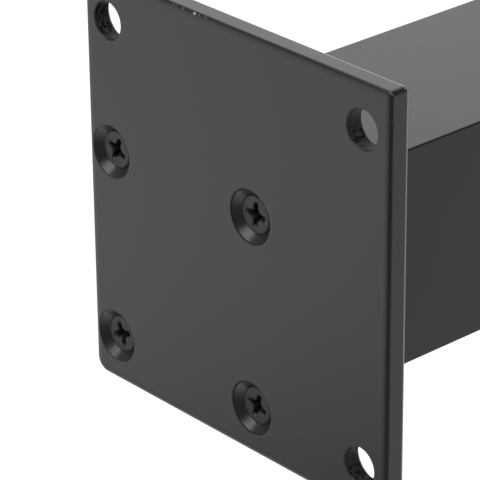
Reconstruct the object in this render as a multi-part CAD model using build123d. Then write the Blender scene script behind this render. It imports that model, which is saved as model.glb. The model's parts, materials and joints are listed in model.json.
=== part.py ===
from build123d import *
import math
import os

# Height-adjustable furniture leg: a square tube under an offset mounting plate,
# with a screw-down levelling foot. All sizes are in millimetres.
# +Z is up, the foot stands on Z = 0, and X = Y = 0 is the middle of the plate.

# Mounting plate
plate_width = 90.0
plate_depth = 92.7
plate_thickness = 4.8
plate_leg_corner_radius = 3.0
plate_corner_radius = 0.8
plate_top_rounding = 0.6
plate_under_rounding = 0.3
mount_hole_diameter = 8.2
mount_hole_lip = 0.2
mount_hole_under_bevel = 1.2
hole_margin_left = 7.05
hole_margin_right = 7.85
hole_margin_back = 9.85
hole_margin_front = 10.3

# Square tube with a screw port along each inner corner
tube_side = 50.0
tube_length = 120.0
tube_wall = 1.8
tube_edge_radius = 0.5
port_inset = 3.35
port_ring_wall = 1.3
port_slot_width = 1.6

# Countersunk cross-recessed screws through the plate into the ports
screw_diameter = 4.2
screw_length = 19.0
screw_head_diameter = 8.4
screw_head_land = 0.3
screw_head_depth = 1.45
screw_tip_length = 2.0
screw_tip_diameter = 2.1
screw_hole_diameter = 4.8
countersink_angle = 90.0
countersink_lip_width = 0.85
countersink_lip_depth = 0.35
recess_span = 4.8
recess_foot_span = 2.4
recess_arm_width = 1.15
recess_foot_width = 0.8
recess_depth = 2.3
recess_core_radius = 1.3
recess_core_foot_radius = 0.55
screw_turns = (66.6, 86.3, 20.3, 72.6)

# Moulded plug in the tube's lower end
flange_thickness = 3.5
flange_edge_chamfer = 0.8
skirt_height = 22.0
skirt_wall = 2.0
skirt_clearance = 0.3
skirt_lead_chamfer = 0.8
fin_count = 3
fin_thickness = 1.0
fin_first_height = 4.0
fin_spacing = 6.0
boss_wall = 3.4
boss_roof = 4.5
plug_rib_thickness = 1.8
plug_rib_height = 8.0

# Hexagon nut held in the plug
nut_across_flats = 17.0
nut_height = 8.0
nut_pocket_clearance = 0.1
nut_chamfer_angle = 30.0
nut_face_ratio = 0.95

# Threaded stud of the levelling foot
stud_diameter = 10.0
stud_thread_length = 32.0
stud_end_chamfer = 1.0
stud_relief_diameter = 8.4
stud_relief_length = 1.2
stud_guide_clearance = 1.5
thread_clearance = 0.05
hex_across_flats = 14.0
hex_height = 6.0
pin_diameter = 8.0
pin_clearance = 0.05
pin_end_chamfer = 0.6

# Moulded foot and what it holds
base_diameter = 48.0
base_height = 12.5
base_rim_height = 3.4
base_wall = 2.4
base_rib_count = 8
base_rib_thickness = 1.6
base_boss_diameter = 22.0
base_crown_diameter = 19.0
base_crown_height = 1.2
base_edge_bevel = 0.8
bearing_length = 7.0
retainer_pocket_diameter = 16.8
retainer_diameter = 15.0
retainer_thickness = 0.7
retainer_dish = 0.8
retainer_bend_diameter = 12.0
retainer_slot_count = 6
retainer_slot_width = 1.4
retainer_slot_reach = 5.6
pad_diameter = 44.0
pad_thickness = 2.0
pad_recess = 1.0
pad_clearance = 0.2
pad_edge_chamfer = 0.4

# Gaps between the foot, its stud and the plug
end_float = 0.2
stop_gap = 0.3

# Heights that follow from the pieces, counted up from the floor
base_bottom = pad_thickness - pad_recess
base_top = base_bottom + base_height
hex_bottom = base_top + end_float
hex_top = hex_bottom + hex_height
flange_bottom = hex_top + stop_gap
tube_bottom = flange_bottom + flange_thickness
plate_under = tube_bottom + tube_length
plate_top = plate_under + plate_thickness
pocket_roof = base_top - bearing_length

# Places that follow: the ports, the leg's axis and the mounting holes
port_pitch = tube_side - 2 * port_inset
port_left = -plate_width / 2 + hole_margin_left
port_front = -plate_depth / 2 + hole_margin_front
leg_x = port_left + port_pitch / 2
leg_y = port_front + port_pitch / 2
hole_right = plate_width / 2 - hole_margin_right
hole_back = plate_depth / 2 - hole_margin_back
mount_holes = [(port_left, hole_back), (hole_right, hole_back), (hole_right, port_front)]
port_offsets = [(sx * port_pitch / 2, sy * port_pitch / 2) for sy in (1, -1) for sx in (-1, 1)]
leg_axis = Pos(leg_x, leg_y, 0)
port_outer_radius = screw_diameter / 2 + port_ring_wall
tube_inside = tube_side - 2 * tube_wall

# Slope of the countersink's wall, outwards for each millimetre of height
sink_half_angle = math.radians(countersink_angle / 2)
sink_slope = math.tan(sink_half_angle)
seated_up = (Align.CENTER, Align.CENTER, Align.MIN)


def turned(points):
    """Solid of revolution about Z from a closed outline of (radius, height) points."""
    outline = make_face(Polyline(*points, close=True))
    return revolve(Plane.XZ * outline, Axis.Z)


def ported_square(side, relief_radius):
    """Square outline with a round bay at each of the tube's ports."""
    bays = [Pos(x, y) * Circle(relief_radius) for x, y in port_offsets]
    return Rectangle(side, side) - bays


def hexagon(across_flats):
    """Hexagon by its width across flats."""
    return RegularPolygon(across_flats / 2, 6, major_radius=False)


def nut_envelope(across_flats, height):
    """Round envelope whose conical ends trim the six corners of a nut."""
    corner = across_flats / math.sqrt(3)
    face = across_flats * nut_face_ratio / 2
    drop = (corner - face) * math.tan(math.radians(nut_chamfer_angle))
    return turned([(0, 0), (face, 0), (corner, drop), (corner, height - drop), (face, height), (0, height)])


def corner_order(edge):
    """Places the plate's upright edges in order, the one nearest the leg first."""
    return edge.center().X + edge.center().Y


def mount_hole():
    """Cutter for one mounting hole, mouth at Z = 0: a small bevel above, a wider one below."""
    hole = mount_hole_diameter / 2
    lip = hole + mount_hole_lip
    seat = hole + mount_hole_under_bevel
    bottom = -2 * plate_thickness
    above = plate_thickness
    return turned([(0, bottom), (seat, bottom), (seat, -plate_thickness),
                   (hole, -plate_thickness + mount_hole_under_bevel), (hole, -mount_hole_lip),
                   (lip, 0), (lip, above), (0, above)])


def countersink():
    """Cutter for one screw seat, mouth at Z = 0: a clearance hole, a cone and a bevelled lip."""
    head = screw_head_diameter / 2
    hole = screw_hole_diameter / 2
    land = -screw_head_depth - screw_head_land
    cone_end = land - (head - hole) / sink_slope
    lip = head + (screw_head_depth - countersink_lip_depth) * sink_slope
    mouth = lip + countersink_lip_width
    bottom = -2 * plate_thickness
    above = plate_thickness
    return turned([(0, bottom), (hole, bottom), (hole, cone_end), (head, land), (head, -screw_head_depth),
                   (lip, -countersink_lip_depth), (mouth, 0), (mouth, above), (0, above)])


def mounting_plate():
    """Plate with its widest corner radius over the leg, four screw seats and three mounting holes."""
    plate = Pos(0, 0, plate_under) * Box(plate_width, plate_depth, plate_thickness, align=seated_up)
    corners = plate.edges().filter_by(Axis.Z).sort_by(corner_order)
    plate = fillet(corners[1:], plate_corner_radius)
    plate = fillet(plate.edges().filter_by(Axis.Z).sort_by(corner_order)[0], plate_leg_corner_radius)
    plate = fillet(plate.faces().sort_by(Axis.Z)[-1].edges(), plate_top_rounding)
    plate = fillet(plate.faces().sort_by(Axis.Z)[0].edges(), plate_under_rounding)
    for x, y in mount_holes:
        plate -= Pos(x, y, plate_top) * mount_hole()
    for x, y in port_offsets:
        plate -= Pos(leg_x + x, leg_y + y, plate_top) * countersink()
    return plate


def leg_tube():
    """Extruded square tube; each inner corner carries a slotted ring for a screw."""
    outer = RectangleRounded(tube_side, tube_side, tube_edge_radius)
    profile = outer - Rectangle(tube_inside, tube_inside)
    for x, y in port_offsets:
        profile += Pos(x, y) * Circle(port_outer_radius) & outer
    for x, y in port_offsets:
        inward = math.degrees(math.atan2(-y, -x))
        slot = Rectangle(2 * port_outer_radius, port_slot_width, align=(Align.MIN, Align.CENTER))
        profile -= Pos(x, y) * Circle(screw_diameter / 2)
        profile -= Pos(x, y) * Rot(0, 0, inward) * slot
    return leg_axis * Pos(0, 0, tube_bottom) * extrude(profile, tube_length)


def cross_recess():
    """Cutter for a cross recess whose four arms narrow downwards, mouth at Z = 0."""
    arms = []
    for turn in (0, 90):
        mouth = Rot(0, 0, turn) * Rectangle(recess_span, recess_arm_width)
        foot = Rot(0, 0, turn) * Rectangle(recess_foot_span, recess_foot_width)
        arms.append(loft([mouth, Pos(0, 0, -recess_depth) * foot]))
    core = Cone(recess_core_foot_radius, recess_core_radius, recess_depth,
                align=(Align.CENTER, Align.CENTER, Align.MAX))
    return arms[0] + arms[1] + core


def plate_screw(turn):
    """Countersunk screw with a cross recess, its flat head face at Z = 0."""
    head = screw_head_diameter / 2
    shank = screw_diameter / 2
    cone_end = -screw_head_land - (head - shank) / sink_slope
    tip = screw_tip_diameter / 2
    body = turned([(0, 0), (head, 0), (head, -screw_head_land), (shank, cone_end),
                   (shank, -screw_length + screw_tip_length), (tip, -screw_length), (0, -screw_length)])
    return body - Rot(0, 0, turn) * cross_recess()


def end_plug():
    """Moulded plug: flange, notched skirt with grip fins, ribs and the nut's boss."""
    boss_radius = nut_across_flats / math.sqrt(3) + nut_pocket_clearance + boss_wall
    boss_top = nut_height + stop_gap + boss_roof
    skirt_side = tube_inside - 2 * skirt_clearance
    bay = port_outer_radius + skirt_clearance
    skirt_outline = ported_square(skirt_side, bay)
    hollow_outline = ported_square(skirt_side - 2 * skirt_wall, bay + skirt_wall)
    flange = extrude(Rectangle(tube_side, tube_side), flange_thickness)
    flange = chamfer(flange.faces().sort_by(Axis.Z)[0].edges(), flange_edge_chamfer)
    flange &= extrude(RectangleRounded(tube_side, tube_side, tube_edge_radius), flange_thickness)
    skirt = extrude(skirt_outline, skirt_height)
    skirt = chamfer(skirt.faces().sort_by(Axis.Z)[-1].edges(), skirt_lead_chamfer)
    skirt -= extrude(hollow_outline, skirt_height)
    fin_outline = ported_square(tube_inside, bay) - hollow_outline
    for level in range(fin_count):
        skirt += Pos(0, 0, fin_first_height + level * fin_spacing) * extrude(fin_outline, fin_thickness)
    rib = Box(skirt_side - skirt_wall, plug_rib_thickness, plug_rib_height, align=seated_up)
    ribs = rib + Rot(0, 0, 90) * rib
    boss = Cylinder(boss_radius, boss_top, align=seated_up)
    plug = flange + Pos(0, 0, flange_thickness) * (skirt + ribs) + boss
    pocket = extrude(hexagon(nut_across_flats + 2 * nut_pocket_clearance), nut_height + stop_gap)
    guide = Cylinder(stud_diameter / 2 + stud_guide_clearance, 3 * (flange_thickness + skirt_height))
    return leg_axis * Pos(0, 0, flange_bottom) * (plug - pocket - guide)


def plug_nut():
    """Hexagon nut with chamfered corners, seated against the roof of its pocket."""
    nut = extrude(hexagon(nut_across_flats), nut_height)
    nut &= nut_envelope(nut_across_flats, nut_height)
    nut -= Cylinder(stud_diameter / 2 + thread_clearance, 3 * nut_height)
    return leg_axis * Pos(0, 0, flange_bottom + stop_gap) * nut


def foot_stud():
    """Stud with a threaded shank, a hexagon for the spanner and a bearing pin below."""
    radius = stud_diameter / 2
    relief = stud_relief_diameter / 2
    pin = pin_diameter / 2
    pin_bottom = pad_thickness + retainer_thickness
    thread_top = hex_top + stud_thread_length
    shank = turned([(0, hex_top), (relief, hex_top), (relief, hex_top + stud_relief_length),
                    (radius, hex_top + stud_relief_length + radius - relief),
                    (radius, thread_top - stud_end_chamfer),
                    (radius - stud_end_chamfer, thread_top), (0, thread_top)])
    foot_pin = turned([(0, pin_bottom), (pin - pin_end_chamfer, pin_bottom),
                       (pin, pin_bottom + pin_end_chamfer), (pin, hex_bottom), (0, hex_bottom)])
    collar = Pos(0, 0, hex_bottom) * extrude(hexagon(hex_across_flats), hex_height)
    collar &= Pos(0, 0, hex_bottom) * nut_envelope(hex_across_flats, hex_height)
    return leg_axis * (shank + collar + foot_pin)


def foot_retainer():
    """Dished push-on washer that grips the pin under the foot's bearing."""
    pin = pin_diameter / 2
    rim = retainer_diameter / 2
    top = pocket_roof - end_float
    bottom = top - retainer_dish
    bend = retainer_bend_diameter / 2
    washer = turned([(pin, bottom - retainer_thickness), (bend, top - retainer_thickness),
                     (rim, top - retainer_thickness), (rim, top), (bend, top), (pin, bottom)])
    height = 4 * (retainer_dish + retainer_thickness)
    slot = Pos(0, 0, top) * Box(retainer_slot_reach, retainer_slot_width, height,
                                align=(Align.MIN, Align.CENTER, Align.CENTER))
    for step in range(retainer_slot_count):
        washer -= Rot(0, 0, step * 360 / retainer_slot_count) * slot
    return leg_axis * washer


def foot_base():
    """Moulded round foot, hollow below, with radial ribs and a bearing boss."""
    rim = base_diameter / 2
    crown = base_crown_diameter / 2
    shoulder = base_bottom + base_rim_height
    crown_foot = base_top - base_crown_height
    slope = (crown_foot - shoulder) / (rim - crown)
    outside = turned([(0, base_bottom), (rim, base_bottom), (rim, shoulder - base_edge_bevel),
                      (rim - base_edge_bevel, shoulder + slope * base_edge_bevel), (crown, crown_foot),
                      (crown, base_top), (0, base_top)])
    boss = base_boss_diameter / 2
    drop = base_wall * math.sqrt(1 + slope ** 2)
    inner_rim = rim - base_wall
    roof_at_rim = shoulder + slope * base_wall - drop
    roof_at_boss = shoulder + slope * (rim - boss) - drop
    hollow = turned([(boss, pad_thickness), (inner_rim, pad_thickness), (inner_rim, roof_at_rim),
                     (boss, roof_at_boss)])
    rib = Box(rim, base_rib_thickness, 2 * base_height, align=(Align.MIN, Align.CENTER, Align.CENTER))
    for step in range(base_rib_count):
        hollow -= Rot(0, 0, step * 360 / base_rib_count) * rib
    pad_seat = Cylinder(pad_diameter / 2 + pad_clearance, pad_recess, align=seated_up)
    pocket = Cylinder(retainer_pocket_diameter / 2, pocket_roof - base_bottom, align=seated_up)
    underside = Pos(0, 0, base_bottom) * (pad_seat + pocket)
    bearing = Cylinder(pin_diameter / 2 + pin_clearance, 3 * base_top)
    return leg_axis * (outside - hollow - underside - bearing)


def foot_pad():
    """Non-slip disc let into the underside of the foot."""
    pad = Cylinder(pad_diameter / 2, pad_thickness, align=seated_up)
    return leg_axis * chamfer(pad.faces().sort_by(Axis.Z)[0].edges(), pad_edge_chamfer)


pieces = {
    "mounting_plate": mounting_plate(),
    "leg_tube": leg_tube(),
    "end_plug": end_plug(),
    "plug_nut": plug_nut(),
    "foot_stud": foot_stud(),
    "foot_retainer": foot_retainer(),
    "foot_base": foot_base(),
    "foot_pad": foot_pad(),
}
head_face = plate_top - screw_head_depth
for number, ((x, y), turn) in enumerate(zip(port_offsets, screw_turns), start=1):
    pieces[f"plate_screw_{number}"] = Pos(leg_x + x, leg_y + y, head_face) * plate_screw(turn)

for name, shape in pieces.items():
    export_step(shape, f"parts/{name}.step")
print("overall height", round(plate_top, 3), "leg axis", round(leg_x, 3), round(leg_y, 3))
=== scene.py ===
import bpy
import json
import math
import numpy as np
from mathutils import Matrix, Vector


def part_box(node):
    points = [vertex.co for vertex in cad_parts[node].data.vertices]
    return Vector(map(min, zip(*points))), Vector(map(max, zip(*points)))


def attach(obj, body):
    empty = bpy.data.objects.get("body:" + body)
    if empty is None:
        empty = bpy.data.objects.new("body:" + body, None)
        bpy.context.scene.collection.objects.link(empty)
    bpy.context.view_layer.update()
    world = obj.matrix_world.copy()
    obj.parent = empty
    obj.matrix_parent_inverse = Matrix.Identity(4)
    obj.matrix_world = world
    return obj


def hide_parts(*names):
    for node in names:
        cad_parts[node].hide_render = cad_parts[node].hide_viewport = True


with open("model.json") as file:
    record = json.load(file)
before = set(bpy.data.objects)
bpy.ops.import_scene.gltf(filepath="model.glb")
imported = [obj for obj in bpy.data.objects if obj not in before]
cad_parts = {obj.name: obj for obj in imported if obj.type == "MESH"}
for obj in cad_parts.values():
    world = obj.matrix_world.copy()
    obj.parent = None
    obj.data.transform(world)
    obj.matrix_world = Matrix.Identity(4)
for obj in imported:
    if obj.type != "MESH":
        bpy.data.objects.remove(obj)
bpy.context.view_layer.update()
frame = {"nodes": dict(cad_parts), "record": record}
mm = 0.001

# The camera of the photograph, in metres; its axes are given as directions in the model's frame
camera = {
    "place": (0.41478, 0.26791, 0.51227),
    "right": (0.66497, -0.00930, -0.74681),
    "up": (-0.320325, 0.899735, -0.296427),
    "back": (0.674689, 0.436338, 0.595318),
    "lens": 229.235,
    "sensor": 36.0,
}


def setCamera():
    data = bpy.data.cameras.new("photoCamera")
    data.lens = camera["lens"]
    data.sensor_width = camera["sensor"]
    data.clip_start = 0.05
    data.clip_end = 30
    eye = bpy.data.objects.new("photoCamera", data)
    turn = Matrix([camera["right"], camera["up"], camera["back"]]).transposed().to_4x4()
    eye.matrix_world = Matrix.Translation(camera["place"]) @ turn
    bpy.context.scene.collection.objects.link(eye)
    bpy.context.scene.camera = eye


setCamera()
print("camera set")


# Mesh building: every new shape is a grid of points worked out as whole arrays

def ringFaces(rows, columns, closedRows):
    # quads of a grid that wraps round in its columns, and in its rows too where closedRows is true
    row = np.arange(rows if closedRows else rows - 1)[:, None]
    column = np.arange(columns)[None, :]
    nextRow = (row + 1) % rows
    nextColumn = (column + 1) % columns
    quads = [row * columns + column, row * columns + nextColumn,
             nextRow * columns + nextColumn, nextRow * columns + column]
    return np.stack(quads, axis=-1).reshape(-1, 4)


def enclosedVolume(points, triangles):
    # sum of the signed volumes between each triangle and the origin, a x (b x c) / 6
    a, b, c = (points[triangles[:, k]] for k in range(3))
    return float(np.einsum("ij,ij->i", a, np.cross(b, c)).sum() / 6)


def newPiece(name, points, faces, sharpAngle=32):
    # puts points and faces into a mesh, outwards, smooth, and sharp where faces meet steeper than sharpAngle
    fan = np.array([(f[0], f[k], f[k + 1]) for f in faces for k in range(1, len(f) - 1)])
    if enclosedVolume(points, fan) < 0:
        faces = [f[::-1] for f in faces]
    mesh = bpy.data.meshes.new(name)
    mesh.from_pydata(points.tolist(), [], faces)
    mesh.update()
    mesh.shade_smooth()
    mesh.set_sharp_from_angle(angle=math.radians(sharpAngle))
    piece = bpy.data.objects.new(name, mesh)
    bpy.context.scene.collection.objects.link(piece)
    return piece


def wrappedPiece(name, rings, ends="points", sharpAngle=32):
    # rings is rows x columns x 3 in millimetres; its ends close on middle points, flat caps or each other
    rows, columns = rings.shape[:2]
    points = rings.reshape(-1, 3) * mm
    faces = ringFaces(rows, columns, ends == "loop").tolist()
    if ends == "points":
        middles = np.stack([rings[0].mean(axis=0), rings[-1].mean(axis=0)]) * mm
        first, last = len(points), len(points) + 1
        points = np.vstack([points, middles])
        here = np.arange(columns)
        following = (here + 1) % columns
        base = (rows - 1) * columns
        faces += np.stack([np.full(columns, first), following, here], axis=1).tolist()
        faces += np.stack([np.full(columns, last), base + here, base + following], axis=1).tolist()
    if ends == "caps":
        faces.append(list(range(columns))[::-1])
        faces.append([(rows - 1) * columns + k for k in range(columns)])
    return newPiece(name, points, faces, sharpAngle)


def finishByRow(piece, columns, finishes, rows):
    # two finishes on a wrapped grid: the second one on the faces between the two given rows
    for finish in finishes:
        piece.data.materials.append(finish)
    row = np.arange(len(piece.data.polygons)) // columns
    piece.data.polygons.foreach_set("material_index", ((row >= rows[0]) & (row < rows[1])).astype(np.int32))
    piece.data.update()


def turnedRings(profile, axis, columns):
    # profile rows are radius and height; each one is swept round the upright axis
    profile = np.asarray(profile, float)
    angle = np.linspace(0, 2 * np.pi, columns, endpoint=False)
    x = axis[0] + profile[:, :1] * np.cos(angle)
    y = axis[1] + profile[:, :1] * np.sin(angle)
    z = np.repeat(profile[:, 1:], columns, axis=1)
    return np.stack([x, y, z], axis=-1)


def stackedRings(axis, angle, parts):
    # each part is radii and heights, in rows; all the parts become one grid of rings round the upright axis
    radii = np.vstack([np.broadcast_to(reach, (len(height), len(angle))) for reach, height in parts])
    heights = np.vstack([np.broadcast_to(height, (len(height), len(angle))) for _, height in parts])
    return np.stack([axis[0] + radii * np.cos(angle), axis[1] + radii * np.sin(angle), heights], axis=-1)


def asColumn(*values):
    return np.array(values, float)[:, None]


def arcPoints(middle, radius, start, stop, steps):
    # points of a circle's arc in the radius-height plane, angles in degrees
    angle = np.radians(np.linspace(start, stop, steps))
    return np.stack([middle[0] + radius * np.cos(angle), middle[1] + radius * np.sin(angle)], axis=1)


def roundedOutline(halfWidth, halfDepth, radii, cornerSteps):
    # rectangle whose corners are quarter circles, anticlockwise from the +X +Y corner, with a radius for each
    quarter = np.linspace(0, np.pi / 2, cornerSteps)
    parts = []
    for turn, ((sx, sy), radius) in enumerate(zip([(1, 1), (-1, 1), (-1, -1), (1, -1)], radii)):
        angle = quarter + turn * np.pi / 2
        parts.append(np.stack([sx * (halfWidth - radius) + radius * np.cos(angle),
                               sy * (halfDepth - radius) + radius * np.sin(angle)], axis=1))
    return np.vstack(parts)


def nodeBox(node):
    low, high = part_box(node)
    return np.array(low) / mm, np.array(high) / mm


def applied(piece, name):
    # the piece with its modifiers worked into a new mesh
    graph = bpy.context.evaluated_depsgraph_get()
    mesh = bpy.data.meshes.new_from_object(piece.evaluated_get(graph))
    mesh.name = name
    piece.modifiers.clear()
    piece.data = mesh
    return piece


# Shared effects for the finishes: each is one node group with named sockets

def effectGroup(name, inputs, outputs):
    group = bpy.data.node_groups.new(name, "ShaderNodeTree")
    for label, kind, value in inputs:
        socket = group.interface.new_socket(name=label, in_out="INPUT", socket_type=kind)
        socket.default_value = value
    for label, kind in outputs:
        group.interface.new_socket(name=label, in_out="OUTPUT", socket_type=kind)
    return group, group.nodes.new("NodeGroupInput"), group.nodes.new("NodeGroupOutput")


def addNode(tree, kind, inputs=None, **settings):
    node = tree.nodes.new(kind)
    for key, value in settings.items():
        setattr(node, key, value)
    for key, value in (inputs or {}).items():
        if isinstance(value, bpy.types.NodeSocket):
            tree.links.new(value, node.inputs[key])
        else:
            node.inputs[key].default_value = value
    return node


def maths(tree, operation, a, b=0.0, clamp=False):
    return addNode(tree, "ShaderNodeMath", {0: a, 1: b}, operation=operation, use_clamp=clamp).outputs[0]


def stretch(tree, value, fromLow, fromHigh, low=0.0, high=1.0):
    # value moved from one range to another, and held within it
    node = addNode(tree, "ShaderNodeMapRange", {"Value": value, "From Min": fromLow, "From Max": fromHigh,
                                                "To Min": low, "To Max": high})
    return node.outputs["Result"]


def makeCoatGrain():
    # a baked coat's skin: fine pimples over slow waves for its height, specks, and slow cloudy patches
    group, start, end = effectGroup(
        "coatGrain",
        [("Grain Scale", "NodeSocketFloat", 2000.0), ("Wave Scale", "NodeSocketFloat", 500.0),
         ("Wave Share", "NodeSocketFloat", 0.5), ("Patch Scale", "NodeSocketFloat", 40.0)],
        [("Height", "NodeSocketFloat"), ("Patches", "NodeSocketFloat"), ("Specks", "NodeSocketFloat")])
    where = addNode(group, "ShaderNodeTexCoord").outputs["Object"]
    grain = addNode(group, "ShaderNodeTexNoise", {"Vector": where, "Scale": start.outputs["Grain Scale"],
                                                  "Detail": 2.0, "Roughness": 0.55})
    wave = addNode(group, "ShaderNodeTexNoise", {"Vector": where, "Scale": start.outputs["Wave Scale"],
                                                 "Detail": 1.0, "Roughness": 0.4})
    patch = addNode(group, "ShaderNodeTexNoise", {"Vector": where, "Scale": start.outputs["Patch Scale"],
                                                  "Detail": 4.0, "Roughness": 0.6})
    height = addNode(group, "ShaderNodeMix", {"Factor": start.outputs["Wave Share"],
                                              "A": grain.outputs[0], "B": wave.outputs[0]})
    group.links.new(height.outputs["Result"], end.inputs["Height"])
    group.links.new(stretch(group, patch.outputs[0], 0.3, 0.7), end.inputs["Patches"])
    group.links.new(stretch(group, grain.outputs[0], 0.35, 0.65), end.inputs["Specks"])
    return group


def makeChip():
    # a small knocked spot: within a ragged distance of one place the mask is 1
    group, start, end = effectGroup(
        "coatChip",
        [("Place", "NodeSocketVector", (0, 0, 0)), ("Reach", "NodeSocketFloat", 0.0005),
         ("Ragged", "NodeSocketFloat", 0.0006), ("Edge Fade", "NodeSocketFloat", 0.00008)],
        [("Mask", "NodeSocketFloat")])
    where = addNode(group, "ShaderNodeTexCoord").outputs["Object"]
    away = addNode(group, "ShaderNodeVectorMath", {0: where, 1: start.outputs["Place"]}, operation="DISTANCE")
    noise = addNode(group, "ShaderNodeTexNoise", {"Vector": where, "Scale": 2600.0, "Detail": 3.0})
    push = maths(group, "MULTIPLY", maths(group, "SUBTRACT", noise.outputs[0], 0.5), start.outputs["Ragged"])
    reach = maths(group, "SUBTRACT", start.outputs["Reach"], maths(group, "ADD", away.outputs["Value"], push))
    group.links.new(stretch(group, reach, 0.0, start.outputs["Edge Fade"]), end.inputs["Mask"])
    return group


def makeRimWearAndHighlight():
    # thin marks along a rim of a block, for rub wear on one rim and a painted highlight on another:
    # a band near both its sides and one level, broken up by noise
    group, start, end = effectGroup(
        "rimWearAndHighlight",
        [("Half Size", "NodeSocketVector", (0.045, 0.046, 0)), ("Level", "NodeSocketFloat", 0.148),
         ("Band", "NodeSocketFloat", 0.0009), ("Band Fade", "NodeSocketFloat", 0.0003),
         ("Share", "NodeSocketFloat", 0.7), ("Share Fade", "NodeSocketFloat", 0.02)],
        [("Mask", "NodeSocketFloat")])
    where = addNode(group, "ShaderNodeTexCoord").outputs["Object"]
    size = addNode(group, "ShaderNodeVectorMath", {0: where}, operation="ABSOLUTE").outputs[0]
    inside = addNode(group, "ShaderNodeVectorMath", {0: start.outputs["Half Size"], 1: size},
                     operation="SUBTRACT")
    parts = addNode(group, "ShaderNodeSeparateXYZ", {"Vector": inside.outputs[0]})
    side = maths(group, "MINIMUM", parts.outputs["X"], parts.outputs["Y"])
    upright = addNode(group, "ShaderNodeSeparateXYZ", {"Vector": where}).outputs["Z"]
    away = maths(group, "ABSOLUTE", maths(group, "SUBTRACT", start.outputs["Level"], upright))
    corner = maths(group, "ADD", side, away)
    within = maths(group, "SUBTRACT", start.outputs["Band"], corner)
    near = stretch(group, within, 0.0, start.outputs["Band Fade"])
    noise = addNode(group, "ShaderNodeTexNoise", {"Vector": where, "Scale": 330.0, "Detail": 5.0,
                                                  "Roughness": 0.7})
    above = maths(group, "SUBTRACT", noise.outputs[0], start.outputs["Share"])
    broken = stretch(group, above, 0.0, start.outputs["Share Fade"])
    group.links.new(maths(group, "MULTIPLY", near, broken), end.inputs["Mask"])
    return group


def makeDrawLines():
    # fine lines that a die leaves along the length of an extrusion: noise drawn out along Z
    group, start, end = effectGroup(
        "drawLines",
        [("Across Scale", "NodeSocketFloat", 1800.0), ("Along Scale", "NodeSocketFloat", 12.0)],
        [("Height", "NodeSocketFloat")])
    where = addNode(group, "ShaderNodeTexCoord").outputs["Object"]
    scale = addNode(group, "ShaderNodeCombineXYZ", {"X": start.outputs["Across Scale"],
                                                    "Y": start.outputs["Across Scale"],
                                                    "Z": start.outputs["Along Scale"]})
    drawn = addNode(group, "ShaderNodeVectorMath", {0: where, 1: scale.outputs[0]}, operation="MULTIPLY")
    noise = addNode(group, "ShaderNodeTexNoise", {"Vector": drawn.outputs[0], "Scale": 1.0, "Detail": 2.0})
    group.links.new(noise.outputs[0], end.inputs["Height"])
    return group


def makeTurningMarks():
    # rings that a lathe leaves: noise that changes only with height and the distance from an upright axis
    group, start, end = effectGroup(
        "turningMarks",
        [("Axis", "NodeSocketVector", (0, 0, 0)), ("Ring Scale", "NodeSocketFloat", 5000.0)],
        [("Height", "NodeSocketFloat"), ("Streaks", "NodeSocketFloat")])
    where = addNode(group, "ShaderNodeTexCoord").outputs["Object"]
    offset = addNode(group, "ShaderNodeVectorMath", {0: where, 1: start.outputs["Axis"]},
                     operation="SUBTRACT")
    flat = addNode(group, "ShaderNodeVectorMath", {0: offset.outputs[0], 1: (1, 1, 0)}, operation="MULTIPLY")
    radius = addNode(group, "ShaderNodeVectorMath", {0: flat.outputs[0]}, operation="LENGTH").outputs["Value"]
    upright = addNode(group, "ShaderNodeSeparateXYZ", {"Vector": where}).outputs["Z"]
    spot = addNode(group, "ShaderNodeCombineXYZ", {"X": radius, "Y": upright})
    noise = addNode(group, "ShaderNodeTexNoise", {"Vector": spot.outputs[0],
                                                  "Scale": start.outputs["Ring Scale"], "Detail": 1.0})
    cloud = addNode(group, "ShaderNodeTexNoise", {"Vector": where, "Scale": 220.0, "Detail": 4.0})
    group.links.new(noise.outputs[0], end.inputs["Height"])
    group.links.new(stretch(group, cloud.outputs[0], 0.3, 0.7), end.inputs["Streaks"])
    return group


effects = {
    "coatGrain": makeCoatGrain(),
    "coatChip": makeChip(),
    "rimWearAndHighlight": makeRimWearAndHighlight(),
    "drawLines": makeDrawLines(),
    "turningMarks": makeTurningMarks(),
}
print("shared effects made:", len(effects))


def newFinish(name, metallic=0.0, roughness=0.5, specular=0.5):
    finish = bpy.data.materials.new(name)
    finish.use_nodes = True
    tree = finish.node_tree
    shader = next(n for n in tree.nodes if n.type == "BSDF_PRINCIPLED")
    shader.inputs["Metallic"].default_value = metallic
    shader.inputs["Roughness"].default_value = roughness
    shader.inputs["Specular IOR Level"].default_value = specular
    return finish, tree, shader


def placeEffect(tree, name, values):
    node = addNode(tree, "ShaderNodeGroup", node_tree=effects[name])
    for key, value in values.items():
        node.inputs[key].default_value = value
    return node.outputs


def blendColours(tree, factor, first, second):
    node = addNode(tree, "ShaderNodeMix", data_type="RGBA")
    tree.links.new(factor, node.inputs["Factor"])
    for socket, colour in (("A", first), ("B", second)):
        slot = next(s for s in node.inputs if s.name == socket and s.type == "RGBA")
        if isinstance(colour, bpy.types.NodeSocket):
            tree.links.new(colour, slot)
        else:
            slot.default_value = (*colour, 1)
    return next(s for s in node.outputs if s.type == "RGBA")


def addTone(tree, shader, values, mask):
    tree.links.new(blendColours(tree, mask, values["dark"], values["light"]), shader.inputs["Base Color"])


def addGloss(tree, shader, values, mask):
    tree.links.new(stretch(tree, mask, 0.0, 1.0, *values["roughness"]), shader.inputs["Roughness"])


def addRelief(tree, shader, values, height):
    node = addNode(tree, "ShaderNodeBump", {"Strength": values["bumpStrength"],
                                            "Distance": values["bumpDepth"], "Height": height})
    tree.links.new(node.outputs["Normal"], shader.inputs["Normal"])


def setFinish(node, finish):
    # a carried-over CAD node keeps its shape and takes this finish in each of its material slots
    for slot in frame["nodes"][node].material_slots:
        slot.material = finish


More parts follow.
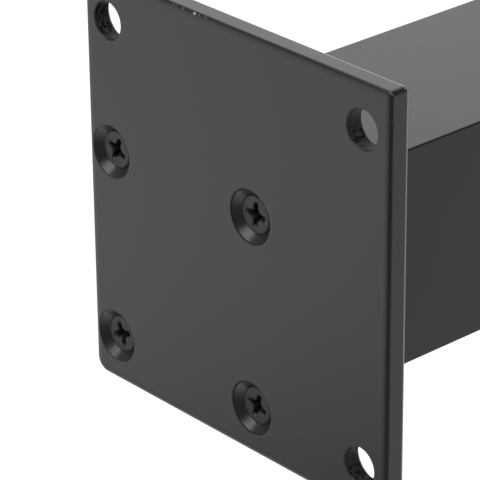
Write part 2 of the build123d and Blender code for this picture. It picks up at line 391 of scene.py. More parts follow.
# The plate's coat: colours are linear, the places and reaches of the chips are in millimetres
plateCoat = {
    "dark": (0.0125, 0.0125, 0.0128),
    "light": (0.0165, 0.0165, 0.0168),
    "bareMetal": (0.85, 0.85, 0.84),
    # pale grey painted along the back edge as its highlight
    "paintedHighlight": (0.42, 0.42, 0.415),
    "roughness": (0.27, 0.33),
    "specular": 0.6,
    "grain": {"Grain Scale": 2300.0, "Wave Scale": 420.0, "Wave Share": 0.35, "Patch Scale": 38.0},
    "bumpStrength": 0.6,
    "bumpDepth": 0.00004,
    "frontRub": {"Band": 0.0007, "Share": 0.68},
    "backHighlightBand": {"Band": 0.00095, "Share": 0.35},
    "chips": [((-10.95, 45.93, 148.1), 0.28), ((-10.6, 45.93, 148.1), 0.25), ((-17.3, 46.0, 148.05), 0.13),
              ((-16.4, 46.0, 148.05), 0.12), ((-14.3, 46.0, 148.05), 0.15), ((-9.4, 46.0, 148.0), 0.11),
              ((-7.5, 46.0, 148.0), 0.13), ((44.75, 40.3, 147.95), 0.08), ((44.6, 45.85, 147.85), 0.13),
              ((44.7, 45.2, 147.8), 0.11), ((44.2, 45.95, 147.9), 0.10), ((44.5, 46.0, 144.4), 0.18),
              ((43.4, 46.2, 144.2), 0.18)],
    "chipRaggedness": 1.2,
    "chipSink": 2.0,
}


def makePlateFinish():
    # cloudy coat, a pale band of painted highlight along the back edge, and bare metal where it is chipped or
    # worn through
    finish, tree, shader = newFinish("plateCoatFinish", specular=plateCoat["specular"])
    grain = placeEffect(tree, "coatGrain", plateCoat["grain"])
    low, high = nodeBox("mounting_plate")
    halfSize = ((high[0] - low[0]) / 2 * mm, (high[1] - low[1]) / 2 * mm, 0)
    front = {"Half Size": halfSize, "Level": high[2] * mm, **plateCoat["frontRub"]}
    back = {"Half Size": halfSize, "Level": low[2] * mm, **plateCoat["backHighlightBand"]}
    bare = placeEffect(tree, "rimWearAndHighlight", front)["Mask"]
    highlightMask = placeEffect(tree, "rimWearAndHighlight", back)["Mask"]
    for place, reach in plateCoat["chips"]:
        spot = {"Place": tuple(v * mm for v in place), "Reach": reach * mm,
                "Ragged": reach * mm * plateCoat["chipRaggedness"]}
        bare = maths(tree, "MAXIMUM", bare, placeEffect(tree, "coatChip", spot)["Mask"])
    coat = blendColours(tree, grain["Patches"], plateCoat["dark"], plateCoat["light"])
    # painted highlight: the coat turns pale grey in a broken band along the back edge
    coat = blendColours(tree, highlightMask, coat, plateCoat["paintedHighlight"])
    tree.links.new(blendColours(tree, bare, coat, plateCoat["bareMetal"]), shader.inputs["Base Color"])
    tree.links.new(bare, shader.inputs["Metallic"])
    addGloss(tree, shader, plateCoat, grain["Patches"])
    sunk = maths(tree, "MULTIPLY", bare, plateCoat["chipSink"])
    addRelief(tree, shader, plateCoat, maths(tree, "SUBTRACT", grain["Height"], sunk))
    return finish


# The finishes inside the bores. The first is painted shade, near black and duller than the faces: even on the
# edges of the shaded seats and in the screws' recesses. The second is mottled, on the walls of the mounting
# holes.
# Tone and gloss change over the speck range
paintedShadeCoat = {
    "dark": (0.004, 0.004, 0.004),
    "light": (0.014, 0.014, 0.014),
    "speckRange": (0.0, 1.0),
    "roughness": (0.55, 0.8),
    "specular": 0.25,
    "grain": {"Grain Scale": 1100.0, "Wave Scale": 420.0, "Wave Share": 0.35, "Patch Scale": 120.0},
    "bumpStrength": 0.9,
    "bumpDepth": 0.00012,
}
wallCoat = {
    "dark": (0.001, 0.001, 0.001),
    "light": (0.068, 0.068, 0.068),
    "speckRange": (0.42, 0.85),
    "roughness": (0.4, 0.8),
    "specular": 0.25,
    "grain": {"Grain Scale": 1250.0, "Wave Scale": 420.0, "Wave Share": 0.35, "Patch Scale": 120.0},
    "bumpStrength": 0.9,
    "bumpDepth": 0.0003,
}


def makeBoreFinish(name, values):
    finish, tree, shader = newFinish(name, specular=values["specular"])
    grain = placeEffect(tree, "coatGrain", values["grain"])
    specks = stretch(tree, grain["Specks"], *values["speckRange"])
    addTone(tree, shader, values, specks)
    addGloss(tree, shader, values, specks)
    addRelief(tree, shader, values, grain["Height"])
    return finish


# The mounting plate, in millimetres. The seats listed as shaded get a line of painted shade on their mouth's
# steeper half. Flares and overruns carry the cutters past the plate's faces
plateShape = {
    "cornerRadii": (1.3, 0.8, 3.0, 0.8),
    "sharpestCorner": 0.25,
    "cornerSteps": 14,
    "topInset": 1.8,
    "topDrop": 0.7,
    "topSteps": 12,
    "underRounding": 0.9,
    "underSteps": 7,
    "holeLip": 0.3,
    "holeLipSteps": 8,
    "holeLipEnd": 96.0,
    "holeFlare": 0.2,
    "holeUnderBevel": 1.2,
    "seatHead": 4.2,
    "seatDepth": 1.70,
    "seatLand": 0.3,
    "seatHole": 2.4,
    "seatLipRadius": 0.7,
    "seatLipSteps": 10,
    "seatLipEnd": 93.0,
    "seatFlare": 0.1,
    "seatFlareRise": 0.02,
    "seatOverrun": 1.5,
    # seats whose mouth gets a dark line of painted shade
    "shadedSeats": (2, 4),
    "shadeSteps": 5,
    "cutterColumns": 96,
    "overrun": 1.0,
}


def mountingHoles():
    # middles and radius of the mounting holes: the back row, and the front one of the right-hand column
    mounts = {mount["name"]: mount for mount in frame["record"]["mounts"]}
    row, column = mounts["back_row_holes"], mounts["right_column_holes"]
    rowHalf, columnHalf = row["dims"]["spacing_x_mm"] / 2, column["dims"]["spacing_y_mm"] / 2
    (x, y), (rightX, middleY) = np.array(row["pos_m"][:2]) / mm, np.array(column["pos_m"][:2]) / mm
    places = [(x - rowHalf, y), (x + rowHalf, y), (rightX, middleY - columnHalf)]
    return places, row["dims"]["hole_r_mm"]


def boreCutter(profile, place, finishes, rows):
    columns = plateShape["cutterColumns"]
    cutter = wrappedPiece("cutter", turnedRings(profile, place, columns))
    finishByRow(cutter, columns, finishes, rows)
    return cutter


def holeCutter(place, radius, top, bottom, wallFinish, mouthFinish):
    # a bore whose mouth is rounded outwards over a quarter circle above and bevelled below, past both faces
    lip, bevel, past = plateShape["holeLip"], plateShape["holeUnderBevel"], plateShape["overrun"]
    below = [(radius + bevel, bottom - past), (radius + bevel, bottom), (radius, bottom + bevel)]
    lipEnd, lipSteps = plateShape["holeLipEnd"], plateShape["holeLipSteps"]
    mouth = arcPoints((radius + lip, top - lip), lip, 180, lipEnd, lipSteps)
    profile = np.vstack([below, mouth, [(radius + lip + plateShape["holeFlare"], top + past)]])
    return boreCutter(profile, place, (wallFinish, mouthFinish), (len(below), len(profile)))


def seatCutter(place, top, bottom, coneFinish, edgeFinish):
    # clearance hole, cone of 45 degrees, short land for the head, cone again, and a mouth rounded outwards
    # with a finish of its own on its steeper half, which is painted shade on the shaded seats
    head, hole, depth = plateShape["seatHead"], plateShape["seatHole"], plateShape["seatDepth"]
    land, lip = plateShape["seatLand"], plateShape["seatLipRadius"]
    outer = head + depth + lip * math.tan(math.radians(22.5))
    below = [(hole, bottom - plateShape["overrun"]), (hole, top - depth - land - (head - hole)),
             (head, top - depth - land), (head, top - depth)]
    mouth = arcPoints((outer, top - lip), lip, 135, plateShape["seatLipEnd"], plateShape["seatLipSteps"])
    flare = outer + plateShape["seatFlare"]
    above = [(flare, top + plateShape["seatFlareRise"]), (flare, top + plateShape["seatOverrun"])]
    profile = np.vstack([below, mouth, above])
    shadeRows = (len(below), len(below) + plateShape["shadeSteps"])
    return boreCutter(profile, place, (coneFinish, edgeFinish), shadeRows)


def makePlate():
    # rounded rectangle carried up through its under rounding, its side and its top rounding, then bored
    low, high = nodeBox("mounting_plate")
    halfWidth, halfDepth = (high - low)[:2] / 2
    middle = (low + high)[:2] / 2
    under = plateShape["underRounding"]
    foot = arcPoints((-under, low[2] + under), under, -90, 0, plateShape["underSteps"])
    crown = arcPoints((-1, -1), 1, 0, 90, plateShape["topSteps"])
    crown = crown * (plateShape["topInset"], plateShape["topDrop"]) + (0, high[2])
    rings = []
    for inset, height in np.vstack([foot, crown]):
        radii = [max(radius + inset, plateShape["sharpestCorner"]) for radius in plateShape["cornerRadii"]]
        outline = roundedOutline(halfWidth + inset, halfDepth + inset, radii, plateShape["cornerSteps"])
        rings.append(np.column_stack([outline + middle, np.full(len(outline), height)]))
    plate = wrappedPiece("plateBody", np.array(rings), ends="caps", sharpAngle=60)
    # the second finish is painted shade, for the mouths of the shaded seats
    coat, paintedShadeEdge = makePlateFinish(), makeBoreFinish("paintedShadeEdgeFinish", paintedShadeCoat)
    wallFinish = makeBoreFinish("wallCoatFinish", wallCoat)
    plate.data.materials.append(coat)
    places, radius = mountingHoles()
    cutters = [holeCutter(place, radius, high[2], low[2], wallFinish, coat) for place in places]
    for number in range(1, 5):
        seatLow, seatHigh = nodeBox(f"plate_screw_{number}")
        # the shaded seats take painted shade on the steeper half of their mouth
        edgeFinish = paintedShadeEdge if number in plateShape["shadedSeats"] else coat
        cutters.append(seatCutter((seatLow + seatHigh)[:2] / 2, high[2], low[2], coat, edgeFinish))
    for cutter in cutters:
        bore = plate.modifiers.new("bore", "BOOLEAN")
        bore.operation = "DIFFERENCE"
        bore.solver = "EXACT"
        bore.material_mode = "TRANSFER"
        bore.object = cutter
    applied(plate, "plateBody")
    for cutter in cutters:
        bpy.data.objects.remove(cutter)
    # the bored mesh gets its smooth and sharp edges anew, and its flat faces stay flat in the shading
    plate.data.shade_smooth()
    plate.data.set_sharp_from_angle(angle=math.radians(28))
    weighted = plate.modifiers.new("flatFaces", "WEIGHTED_NORMAL")
    weighted.keep_sharp = True
    weighted.weight = 100
    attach(plate, "leg")
    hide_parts("mounting_plate")


makePlate()
print("mounting plate made")

# The coat on the square tube, with the extrusion's drawing lines under it
tubeCoat = {
    "dark": (0.0115, 0.0115, 0.0118),
    "light": (0.015, 0.015, 0.0153),
    "roughness": (0.27, 0.33),
    "specular": 0.45,
    "grain": {"Grain Scale": 2400.0, "Wave Scale": 380.0, "Wave Share": 0.4, "Patch Scale": 30.0},
    "lines": {"Across Scale": 1500.0, "Along Scale": 9.0},
    "lineHeight": 0.5,
    "bumpStrength": 0.5,
    "bumpDepth": 0.00003,
}


def dressTube():
    finish, tree, shader = newFinish("tubeCoatFinish", specular=tubeCoat["specular"])
    grain = placeEffect(tree, "coatGrain", tubeCoat["grain"])
    lines = placeEffect(tree, "drawLines", tubeCoat["lines"])
    addTone(tree, shader, tubeCoat, grain["Patches"])
    addGloss(tree, shader, tubeCoat, grain["Patches"])
    raised = maths(tree, "MULTIPLY", lines["Height"], tubeCoat["lineHeight"])
    addRelief(tree, shader, tubeCoat, maths(tree, "ADD", grain["Height"], raised))
    setFinish("leg_tube", finish)


dressTube()
print("tube dressed")

# Countersunk cross-recessed screws, in millimetres; the cross tapers from its mouth to its foot
screwShape = {
    "turns": (66.6, 86.3, 20.3, 72.6),
    "rimWidth": 0.55,
    "rimDepth": 0.28,
    "rimStart": 84.0,
    "rimSteps": 7,
    "sideGap": 0.04,
    "mouthSpan": 2.8,
    "mouthArm": 0.66,
    "mouthCore": 1.4,
    "mouthBevel": 0.1,
    "mouthDrop": 0.04,
    "footSpan": 1.3,
    "footArm": 0.42,
    "footCore": 0.55,
    "recessDepth": 2.2,
    "recessTip": 0.35,
    "recessTipShare": 0.35,
    "recessTop": 0.06,
    "recessSteps": 7,
    "faceSteps": (0.0, 0.12, 0.3, 0.6, 1.0),
    "headLand": 0.3,
    "coneSlope": 1.0,
    "shank": 2.1,
    "neck": 0.03,
    "neckDrop": 0.1,
    "threadPitch": 1.4,
    "threadDepth": 0.5,
    "plainNeck": 1.2,
    "threadRunIn": 0.8,
    "tip": 1.0,
    "tipLength": 2.0,
    "tipGap": 0.02,
    "columns": 160,
    "rowsPerTurn": 10,
}
screwCoat = {
    "dark": (0.012, 0.012, 0.0123),
    "light": (0.02, 0.02, 0.0203),
    "roughness": (0.32, 0.46),
    "grain": {"Grain Scale": 3000.0, "Wave Scale": 900.0, "Wave Share": 0.3, "Patch Scale": 260.0},
    "bumpStrength": 0.5,
    "bumpDepth": 0.00003,
}


def crossReach(angle, span, arm, core):
    # distance from the middle to the edge of a cross: each arm is a squarish oval |x/span|^6 + |y/arm|^6 = 1,
    # and the two arms and the round core are joined softly by a high power mean
    level = (np.abs(np.cos(angle) / span) ** 6 + np.abs(np.sin(angle) / arm) ** 6) ** (-1 / 6)
    upright = (np.abs(np.sin(angle) / span) ** 6 + np.abs(np.cos(angle) / arm) ** 6) ** (-1 / 6)
    return (level ** 10 + upright ** 10 + core ** 10) ** 0.1


def threadWave(height, angle, pitch, steepness=1.35, rootFlat=0.12):
    # a right-hand helix: 1 on the crest and 0 in the root of a V whose crest and root are flattened
    phase = (height / pitch - angle / (2 * np.pi)) % 1
    return np.clip((1 - np.abs(2 * phase - 1)) * steepness - rootFlat, 0, 1)


def makeScrew(number, recessShadeFinish, finish):
    # one grid from the recess's foot, up its walls, over the head and down the threaded shank to the tip
    shape = screwShape
    low, high = nodeBox(f"plate_screw_{number}")
    axis, top, foot = (low + high)[:2] / 2, high[2], low[2]
    head = (high[0] - low[0]) / 2 - shape["sideGap"]
    angle = np.linspace(0, 2 * np.pi, shape["columns"], endpoint=False)
    turned = angle - math.radians(shape["turns"][number - 1])
    # the recess: its cross changes evenly with depth, which is 1 at its foot
    depth = np.linspace(1, shape["recessTop"], shape["recessSteps"])[:, None]
    span = shape["mouthSpan"] + (shape["footSpan"] - shape["mouthSpan"]) * depth
    arm = shape["mouthArm"] + (shape["footArm"] - shape["mouthArm"]) * depth
    core = shape["mouthCore"] + (shape["footCore"] - shape["mouthCore"]) * depth
    walls = crossReach(turned, span, arm, core)
    tip = asColumn(top - shape["recessDepth"] - shape["recessTip"])
    recess = [(walls[:1] * shape["recessTipShare"], tip), (walls, top - shape["recessDepth"] * depth)]
    # the head: flat from the cross's mouth to a rounded rim, a short land, and the cone under it
    mouth = crossReach(turned, shape["mouthSpan"], shape["mouthArm"], shape["mouthCore"])
    mouth = mouth + shape["mouthBevel"]
    flatReach = head - shape["rimWidth"]
    outwards = asColumn(*shape["faceSteps"])
    face = (mouth + (flatReach - mouth) * outwards, top - shape["mouthDrop"] * (outwards == 0))
    rim = arcPoints((0, -1), 1, shape["rimStart"], 0, shape["rimSteps"])
    rim = rim * (shape["rimWidth"], shape["rimDepth"]) + (flatReach, top)
    coneFoot = top - shape["headLand"] - (head - shape["shank"]) / shape["coneSlope"]
    under = np.vstack([rim, [(head, top - shape["headLand"]), (shape["shank"] + shape["neck"], coneFoot)]])
    # the shank: its crest narrows towards the tip, and the thread fades in below a plain neck
    start = coneFoot - shape["neckDrop"]
    rows = int((start - foot) / shape["threadPitch"] * shape["rowsPerTurn"])
    down = np.linspace(start, foot + shape["tipGap"], rows)[:, None]
    crest = np.interp(down, [foot, foot + shape["tipLength"]], [shape["tip"], shape["shank"]])
    fade = np.clip((coneFoot - shape["plainNeck"] - down) / shape["threadRunIn"], 0, 1)
    groove = shape["threadDepth"] * (1 - threadWave(down, angle, shape["threadPitch"]) * fade)
    shank = (crest - groove * np.minimum(1, crest / shape["shank"]), down)
    rings = stackedRings(axis, angle, recess + [face, (under[:, :1], under[:, 1:]), shank])
    screw = wrappedPiece(f"plateScrew{number}", rings, ends="points", sharpAngle=38)
    # the walls of the cross recess take painted shade, near black
    finishByRow(screw, shape["columns"], (recessShadeFinish, finish), (len(walls) - 1, len(rings)))
    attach(screw, "leg")
    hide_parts(f"plate_screw_{number}")


def makeScrewFinish():
    finish, tree, shader = newFinish("screwCoatFinish")
    grain = placeEffect(tree, "coatGrain", screwCoat["grain"])
    addTone(tree, shader, screwCoat, grain["Patches"])
    addGloss(tree, shader, screwCoat, grain["Patches"])
    addRelief(tree, shader, screwCoat, grain["Height"])
    return finish


# the recess finish is painted shade, near black
recessShadeFinish, screwFinish = makeBoreFinish("recessPaintedShadeFinish", paintedShadeCoat), makeScrewFinish()
for screwNumber in range(1, 5):
    makeScrew(screwNumber, recessShadeFinish, screwFinish)
print("plate screws made")

# The stud: bearing pin, spanner hexagon, relief and a rolled right-hand thread, in millimetres
studShape = {
    "pin": 4.0,
    "pinChamfer": 0.6,
    "pinTop": 13.7,
    "hexFlats": 14.0,
    "hexHeight": 6.0,
    "hexChamferAngle": 30.0,
    "hexFaceRatio": 0.95,
    "hexSteps": 9,
    "relief": 4.2,
    "reliefLength": 1.2,
    "reliefTop": 0.15,
    "thread": 4.99,
    "threadPitch": 1.5,
    "threadDepth": 0.92,
    "endChamfer": 1.0,
    "columns": 120,
    "rowsPerTurn": 12,
}
zincPlate = {
    "dark": (0.50, 0.51, 0.52),
    "light": (0.66, 0.67, 0.68),
    "roughness": (0.24, 0.36),
    "ringScale": 4200.0,
    "bumpStrength": 0.25,
    "bumpDepth": 0.00002,
}


def footAxis():
    low, high = nodeBox("foot_stud")
    return (low + high)[:2] / 2


def makeTurnedFinish(name, values):
    # bare or plated steel with a lathe's rings round the leg's axis
    finish, tree, shader = newFinish(name, metallic=1.0)
    x, y = footAxis() * mm
    marks = placeEffect(tree, "turningMarks", {"Axis": (x, y, 0), "Ring Scale": values["ringScale"]})
    addTone(tree, shader, values, marks["Streaks"])
    addGloss(tree, shader, values, marks["Streaks"])
    addRelief(tree, shader, values, marks["Height"])
    return finish


def makeStud(finish):
    # one grid from the pin's end to the thread's end: round, then six-sided within two cones, then the helix
    shape = studShape
    low, high = nodeBox("foot_stud")
    axis, bottom, top = (low + high)[:2] / 2, low[2], high[2]
    angle = np.linspace(0, 2 * np.pi, shape["columns"], endpoint=False)
    pin = (asColumn(shape["pin"] - shape["pinChamfer"], shape["pin"], shape["pin"]),
           asColumn(bottom, bottom + shape["pinChamfer"], shape["pinTop"]))
    # the hexagon's side lies at flat / cos(angle from the middle of that side), and cones cut its corners off
    flat = shape["hexFlats"] / 2
    hexReach = flat / np.cos(angle % (np.pi / 3) - np.pi / 6)
    face = flat * shape["hexFaceRatio"]
    slope = 1 / math.tan(math.radians(shape["hexChamferAngle"]))
    cornerDrop = (hexReach.max() - face) / slope
    steps = np.linspace(0, cornerDrop, shape["hexSteps"])
    rise = np.concatenate([steps, shape["hexHeight"] - steps[::-1]])[:, None]
    cone = face + np.minimum(rise, shape["hexHeight"] - rise) * slope
    hexagon = (np.minimum(hexReach, cone), shape["pinTop"] + rise)
    hexTop = shape["pinTop"] + shape["hexHeight"]
    reliefTop = hexTop + shape["reliefLength"]
    relief = (asColumn(shape["relief"], shape["relief"]), asColumn(hexTop, reliefTop))
    # the thread, kept below a chamfer at each of its ends
    start = reliefTop + shape["reliefTop"]
    rows = int((top - start) / shape["threadPitch"] * shape["rowsPerTurn"])
    height = np.linspace(start, top, rows)[:, None]
    groove = shape["threadDepth"] * (1 - threadWave(height, angle, shape["threadPitch"]))
    endLimit = shape["thread"] - shape["endChamfer"] + (top - height)
    startLimit = shape["relief"] + (height - start)
    thread = (np.minimum(shape["thread"] - groove, np.minimum(endLimit, startLimit)), height)
    rings = stackedRings(axis, angle, [pin, hexagon, relief, thread])
    stud = wrappedPiece("footStud", rings, ends="points", sharpAngle=34)
    stud.data.materials.append(finish)
    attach(stud, "stud")
    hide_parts("foot_stud")


zincFinish = makeTurnedFinish("zincSteelFinish", zincPlate)
makeStud(zincFinish)
setFinish("plug_nut", zincFinish)
print("stud and nut made")

# The push-on washer that holds the foot on the stud's pin
springSteel = {
    "dark": (0.16, 0.155, 0.15),
    "light": (0.28, 0.27, 0.26),
    "roughness": (0.3, 0.42),
    "ringScale": 2600.0,
    "bumpStrength": 0.3,
    "bumpDepth": 0.00002,
}

setFinish("foot_retainer", makeTurnedFinish("springSteelFinish", springSteel))
print("washer dressed")

# Moulded plastics: the plug in the tube's end and the foot
plasticSkin = {
    "dark": (0.012, 0.012, 0.0122),
    "light": (0.018, 0.018, 0.0183),
    "roughness": (0.5, 0.62),
    "grain": {"Grain Scale": 3600.0, "Wave Scale": 1300.0, "Wave Share": 0.45, "Patch Scale": 60.0},
    "bumpStrength": 0.7,
    "bumpDepth": 0.00006,
}


def makePlasticFinish(name):
    # fine spark texture, duller in its specks
    finish, tree, shader = newFinish(name)
    grain = placeEffect(tree, "coatGrain", plasticSkin["grain"])
    addTone(tree, shader, plasticSkin, grain["Patches"])
    addGloss(tree, shader, plasticSkin, grain["Specks"])
    addRelief(tree, shader, plasticSkin, grain["Height"])
    return finish


setFinish("end_plug", makePlasticFinish("plugPlasticFinish"))
print("plug dressed")

# The moulded foot, in millimetres
footShape = {
    "bottom": 1.0,
    "top": 13.5,
    "radius": 24.0,
    "rimHeight": 3.4,
    "rimRounding": 0.9,
    "rimSteps": 8,
    "crown": 9.5,
    "crownHeight": 1.2,
    "crownRounding": 0.3,
    "crownSteps": 5,
    "edgeBevel": 0.3,
    "wall": 2.4,
    "boss": 11.0,
    "pocket": 8.4,
    "pocketRoof": 6.5,
    "bore": 4.05,
    "padSeat": 22.2,
    "padSeatTop": 2.0,
    "ribs": 8,
    "ribThickness": 1.6,
    "ribSink": 0.2,
    "ribRise": 0.3,
    "columns": 144,
}


def footRoof(radius):
    # height of the hollow's roof, which runs one wall thickness under the sloping top
    f = footShape
    shoulder = f["bottom"] + f["rimHeight"]
    slope = (f["top"] - f["crownHeight"] - shoulder) / (f["radius"] - f["crown"])
    return shoulder + slope * (f["radius"] - radius) - f["wall"] * math.sqrt(1 + slope ** 2)


def makeFoot(finish):
    # closed outline of bore, washer pocket, boss, hollow, pad seat, rounded rim, slope and crown, turned
    # round the leg's axis
    shape = footShape
    axis = footAxis()
    bottom, top, radius, bevel = shape["bottom"], shape["top"], shape["radius"], shape["edgeBevel"]
    boss, seatTop, crown = shape["boss"], shape["padSeatTop"], shape["crown"]
    inner = radius - shape["wall"]
    shoulder = bottom + shape["rimHeight"]
    steep = math.pi / 2 - math.atan2(top - shape["crownHeight"] - shoulder, radius - crown)
    rounding = shape["rimRounding"]
    rimMiddle = (radius - rounding, shoulder - rounding * math.tan(steep / 2))
    rim = arcPoints(rimMiddle, rounding, 0, math.degrees(steep), shape["rimSteps"])
    rounding = shape["crownRounding"]
    crownEdge = arcPoints((crown - rounding, top - rounding), rounding, 0, 90, shape["crownSteps"])
    profile = np.vstack([
        [(shape["bore"], shape["pocketRoof"]), (shape["pocket"], shape["pocketRoof"]),
         (shape["pocket"], seatTop), (boss, seatTop), (boss, footRoof(boss)),
         (inner, footRoof(inner)), (inner, seatTop),
         (shape["padSeat"], seatTop), (shape["padSeat"], bottom), (radius - bevel, bottom),
         (radius, bottom + bevel)],
        rim,
        [(crown, top - shape["crownHeight"])],
        crownEdge,
        [(shape["bore"] + bevel, top), (shape["bore"], top - bevel)]])
    rings = turnedRings(profile, axis, shape["columns"])
    foot = wrappedPiece("footBase", rings, ends="loop", sharpAngle=30)
    foot.data.materials.append(finish)
    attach(foot, "foot")
    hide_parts("foot_base")
    # each rib is a thin plate between boss and rim: its four corners, carried across its thickness
    sink, up = shape["ribSink"], shape["ribRise"]
    corners = np.array([(boss - sink, seatTop), (inner + sink, seatTop),
                        (inner + sink, footRoof(inner) + up), (boss - sink, footRoof(boss) + up)])
    for number in range(shape["ribs"]):
        turn = number * 2 * math.pi / shape["ribs"]
        along = np.array([math.cos(turn), math.sin(turn)])
        across = np.array([-math.sin(turn), math.cos(turn)]) * shape["ribThickness"] / 2
        sides = [np.column_stack([axis + corners[:, :1] * along + side * across, corners[:, 1]])
                 for side in (-1, 1)]
        rib = wrappedPiece(f"footRib{number + 1}", np.array(sides), ends="caps")
        rib.data.materials.append(finish)
        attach(rib, "foot")


makeFoot(makePlasticFinish("footPlasticFinish"))
print("foot made")

# The non-slip pad, in millimetres
padShape = {
    "edge": 0.45,
    "edgeSteps": 6,
    "topBevel": 0.1,
    "core": 0.5,
    "grooves": (7.0, 11.0, 15.0, 18.6),
    "grooveWidth": 1.1,
    "grooveDepth": 0.45,
    "grooveSlant": 0.15,
    "columns": 144,
}
padRubber = {
    "dark": (0.028, 0.028, 0.028),
    "light": (0.045, 0.045, 0.045),
    "roughness": (0.75, 0.9),
    "specular": 0.35,
    "grain": {"Grain Scale": 2800.0, "Wave Scale": 700.0, "Wave Share": 0.4, "Patch Scale": 90.0},
    "bumpStrength": 0.8,
    "bumpDepth": 0.00008,
}


def makeRubberFinish():
    finish, tree, shader = newFinish("padRubberFinish", specular=padRubber["specular"])
    grain = placeEffect(tree, "coatGrain", padRubber["grain"])
    addTone(tree, shader, padRubber, grain["Patches"])
    addGloss(tree, shader, padRubber, grain["Specks"])
    addRelief(tree, shader, padRubber, grain["Height"])
    return finish


def makePad():
    # disc with a rounded lower edge and ring grooves with sloping walls in its tread
    shape = padShape
    low, high = nodeBox("foot_pad")
    axis, radius = (low + high)[:2] / 2, (high[0] - low[0]) / 2
    bottom, top, core, bevel = low[2], high[2], shape["core"], shape["topBevel"]
    half, slant, deep = shape["grooveWidth"] / 2, shape["grooveSlant"], shape["grooveDepth"]
    groove = np.array([(-half, 0), (-half + slant, deep), (half - slant, deep), (half, 0)])
    tread = [groove + (middle, bottom) for middle in shape["grooves"]]
    edge = shape["edge"]
    rim = arcPoints((radius - edge, bottom + edge), edge, -90, 0, shape["edgeSteps"])
    profile = np.vstack([[(core, bottom)], *tread, rim,
                         [(radius, top - bevel), (radius - bevel, top), (core, top)]])
    rings = turnedRings(profile, axis, shape["columns"])
    pad = wrappedPiece("footPad", rings, ends="points", sharpAngle=30)
    pad.data.materials.append(makeRubberFinish())
    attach(pad, "foot")
    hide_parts("foot_pad")


makePad()
print("pad made")

# Studio: pale floor, white surroundings for the camera, soft light from the plate's +Y side. What the coat
# mirrors is a room of one level with soft cards in it. Each card has a direction, a change of level, and the
# two angles that it fades over. The floor's lift is what it glows near the object and far from it
studio = {
    "floorSize": 6.0,
    "floorColour": 0.62,
    "floorWhite": 0.9,
    "floorLift": (0.58, 0.72),
    "floorFade": (0.4, 1.6),
    "roomLight": 0.35,
    "mirroredLevel": 0.9,
    "cards": [((0, 0, 1), -0.61, 62, 82), ((0, 0, 1), -0.22, 22, 50), ((0.67, -0.44, -0.60), -0.12, 15, 50),
              ((-0.67, 0.44, -0.60), 0.46, 15, 50), ((-0.99, 0.11, 0.04), -0.6, 8, 38),
              ((0.435, 0.674, -0.595), -0.75, 15, 45), ((0.157, -0.917, 0.367), 0.45, 5, 35)],
    "keyPlace": (-0.14, 0.70, 0.70),
    "keyAim": (0.0, 0.0, 0.13),
    "keySize": (0.75, 0.45),
    "keyPower": 3.2,
    "frontPlace": (-0.195, -0.065, 0.375),
    "frontAim": (0.0, -0.065, 0.148),
    "frontSize": (0.30, 0.35),
    "frontPower": 0.23,
}


def makeFloor():
    half = studio["floorSize"] / 2
    grid = np.array([(-half, -half, 0), (half, -half, 0), (half, half, 0), (-half, half, 0)], float)
    mesh = bpy.data.meshes.new("studioFloor")
    mesh.from_pydata(grid.tolist(), [], [(0, 1, 2, 3)])
    floor = bpy.data.objects.new("studioFloor", mesh)
    bpy.context.scene.collection.objects.link(floor)
    finish, tree, shader = newFinish("floorFinish", roughness=0.9, specular=0.0)
    path = addNode(tree, "ShaderNodeLightPath").outputs
    seen = maths(tree, "MAXIMUM", path["Is Camera Ray"], path["Is Transmission Ray"])
    pale, white = (studio["floorColour"],) * 3, (studio["floorWhite"],) * 3
    tree.links.new(blendColours(tree, seen, pale, white), shader.inputs["Base Color"])
    shader.inputs["Emission Color"].default_value = (1, 1, 1, 1)
    # away from the object, where the lamps no longer reach it, the floor glows a little more and stays white
    where = addNode(tree, "ShaderNodeTexCoord").outputs["Object"]
    away = addNode(tree, "ShaderNodeVectorMath", {0: where}, operation="LENGTH").outputs["Value"]
    lift = stretch(tree, away, *studio["floorFade"], *studio["floorLift"])
    tree.links.new(maths(tree, "MULTIPLY", seen, lift), shader.inputs["Emission Strength"])
    # from below, and for mirrored rays, the floor lets the room through
    clear = addNode(tree, "ShaderNodeBsdfTransparent")
    behind = addNode(tree, "ShaderNodeNewGeometry").outputs["Backfacing"]
    through = maths(tree, "MAXIMUM", behind, path["Is Glossy Ray"])
    mixed = addNode(tree, "ShaderNodeMixShader", {0: through, 1: shader.outputs[0], 2: clear.outputs[0]})
    out = next(n for n in tree.nodes if n.type == "OUTPUT_MATERIAL")
    tree.links.new(mixed.outputs[0], out.inputs["Surface"])
    mesh.materials.append(finish)
    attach(floor, "foot")  # the foot stands on the floor at every height of the leg


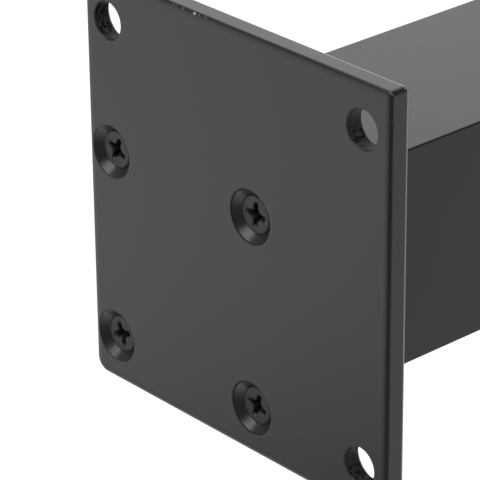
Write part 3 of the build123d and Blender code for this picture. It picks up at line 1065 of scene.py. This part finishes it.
def mirroredRoom(tree):
    # the room's level plus each card's change, faded by the angle between the ray and the card's direction
    ray = addNode(tree, "ShaderNodeTexCoord").outputs["Generated"]
    level = studio["mirroredLevel"]
    for place, change, near, far in studio["cards"]:
        towards = tuple(Vector(place).normalized())
        facing = addNode(tree, "ShaderNodeVectorMath", {0: ray, 1: towards}, operation="DOT_PRODUCT")
        card = addNode(tree, "ShaderNodeMapRange", {
            "Value": facing.outputs["Value"], "From Min": math.cos(math.radians(far)),
            "From Max": math.cos(math.radians(near)), "To Min": 0.0, "To Max": change},
            interpolation_type="SMOOTHSTEP")
        level = maths(tree, "ADD", card.outputs["Result"], level)
    return level


def makeRoom():
    world = bpy.data.worlds.new("studioRoom")
    world.use_nodes = True
    tree = world.node_tree
    sky = next(n for n in tree.nodes if n.type == "BACKGROUND")
    sky.inputs["Color"].default_value = (1, 1, 1, 1)
    path = addNode(tree, "ShaderNodeLightPath").outputs
    seen = maths(tree, "MAXIMUM", path["Is Camera Ray"], path["Is Transmission Ray"])
    direct = stretch(tree, seen, 0.0, 1.0, studio["roomLight"], 1.0)
    change = maths(tree, "SUBTRACT", mirroredRoom(tree), direct)
    mirrored = maths(tree, "MULTIPLY", path["Is Glossy Ray"], change)
    tree.links.new(maths(tree, "ADD", direct, mirrored), sky.inputs["Strength"])
    bpy.context.scene.world = world


def makeLamp(name, place, aim, size, power):
    lamp = bpy.data.lights.new(name, "AREA")
    lamp.shape = "RECTANGLE"
    lamp.size, lamp.size_y = size
    lamp.energy = power
    thing = bpy.data.objects.new(name, lamp)
    away = Vector(place) - Vector(aim)
    thing.matrix_world = Matrix.Translation(place) @ away.to_track_quat("Z", "Y").to_matrix().to_4x4()
    thing.visible_camera = False
    bpy.context.scene.collection.objects.link(thing)
    return thing


makeFloor()
makeRoom()
makeLamp("keySoftbox", studio["keyPlace"], studio["keyAim"], studio["keySize"], studio["keyPower"])
makeLamp("frontSoftbox", studio["frontPlace"], studio["frontAim"], studio["frontSize"], studio["frontPower"])
bpy.context.scene.view_settings.view_transform = "Standard"
print("studio made")


bpy.context.view_layer.update()
